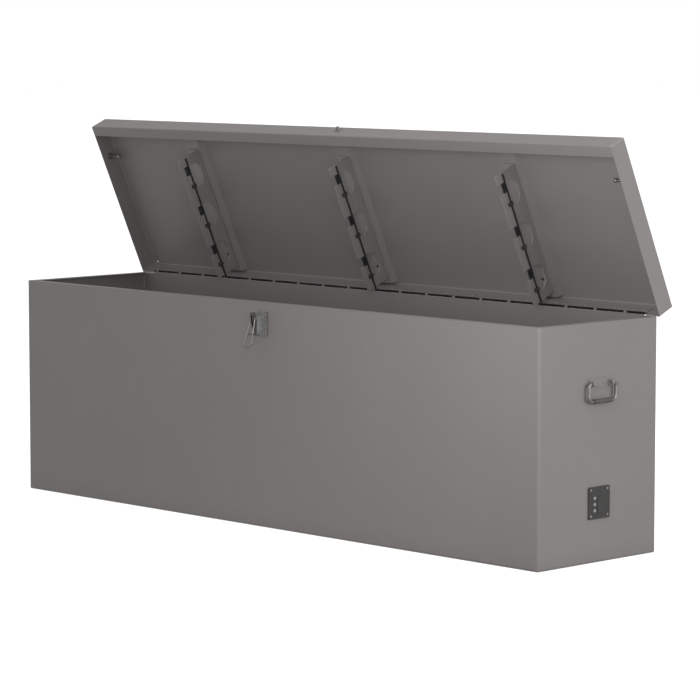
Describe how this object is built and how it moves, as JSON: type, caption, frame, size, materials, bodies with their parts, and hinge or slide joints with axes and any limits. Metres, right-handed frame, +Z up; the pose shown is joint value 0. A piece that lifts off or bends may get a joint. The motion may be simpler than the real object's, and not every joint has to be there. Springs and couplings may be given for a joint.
{
  "type": "deck storage box",
  "caption": "Long sheet-metal deck box with a hinged tray lid standing open, slotted rod racks inside the lid, a front draw latch, drop end handles and an end cover plate.",
  "frame": {"origin": "centre of the underside of the body, on the floor", "axes": "+X along the length towards the end with the cover plate, the latched front faces -Y, +Z up"},
  "size_m": [2.016, 0.5461, 1.0571],
  "materials": {
    "body_paint": "satin warm grey enamel with a faint orange peel",
    "dark_paint": "matt warm grey enamel, slightly scuffed",
    "zinc_steel": "dull zinc plating",
    "dark_steel": "dark plated steel",
    "black_rubber": "matt black rubber",
    "black_plastic": "fine-grained black",
    "pale_plastic": "plain pale grey"
  },
  "bodies": {
    "box": {"front_panel": "body_paint", "back_panel": "body_paint", "left_end_panel": "body_paint", "right_end_panel": "body_paint", "floor_panel": "dark_paint", "front_rim_angle": "body_paint", "left_rim_angle": "body_paint", "right_rim_angle": "body_paint", "hinge_body_leaf": "body_paint", "hinge_pin": "zinc_steel", "hinge_body_rivets": "zinc_steel", "latch_base": "zinc_steel", "latch_base_rivets": "zinc_steel", "latch_pivot_pin": "zinc_steel", "right_handle_plate": "body_paint", "right_handle_screws": "zinc_steel", "left_handle_plate": "body_paint", "left_handle_screws": "zinc_steel", "end_cover_plate": "black_plastic", "end_cover_screws": "zinc_steel", "end_cover_studs": "pale_plastic"},
    "lid": {"lid_shell": "body_paint", "hinge_lid_leaf": "dark_steel", "hinge_lid_rivets": "zinc_steel", "lid_rib_left": "body_paint", "lid_rib_centre": "body_paint", "lid_rib_right": "body_paint", "rod_rack_left": "body_paint", "rod_rack_centre": "body_paint", "rod_rack_right": "body_paint", "rack_strip_left": "black_rubber", "rack_strip_centre": "black_rubber", "rack_strip_right": "black_rubber", "strip_clips_left": "black_rubber", "strip_clips_centre": "black_rubber", "strip_clips_right": "black_rubber", "rack_screws": "zinc_steel", "latch_keeper": "dark_steel", "latch_keeper_rivets": "zinc_steel", "lid_stud_left": "zinc_steel", "lid_stud_right": "zinc_steel"},
    "latch_lever": {"latch_lever": "dark_steel"},
    "latch_bail": {"latch_bail": "zinc_steel"},
    "right_handle": {"right_handle_bail": "zinc_steel", "right_handle_grip": "black_rubber"},
    "left_handle": {"left_handle_bail": "zinc_steel", "left_handle_grip": "black_rubber"}
  },
  "joints": [
    {"name": "lid_hinge", "type": "hinge", "parent": "box", "child": "lid", "pos_m": [0, 0.223, 0.605], "axis": [-1, 0, 0], "range_deg": [-66, 29]},
    {"name": "latch_lever_pivot", "type": "hinge", "parent": "box", "child": "latch_lever", "pos_m": [0, -0.254, 0.57], "axis": [-1, 0, 0], "range_deg": [0, 120]},
    {"name": "latch_bail_pivot", "type": "hinge", "parent": "latch_lever", "child": "latch_bail", "pos_m": [0, -0.2525, 0.5595], "axis": [1, 0, 0], "range_deg": [-164, 0]},
    {"name": "right_handle_swing", "type": "hinge", "parent": "box", "child": "right_handle", "pos_m": [1.001, 0, 0.45], "axis": [0, -1, 0], "range_deg": [0, 95]},
    {"name": "left_handle_swing", "type": "hinge", "parent": "box", "child": "left_handle", "pos_m": [-1.001, 0, 0.45], "axis": [0, 1, 0], "range_deg": [0, 95]}
  ]
}
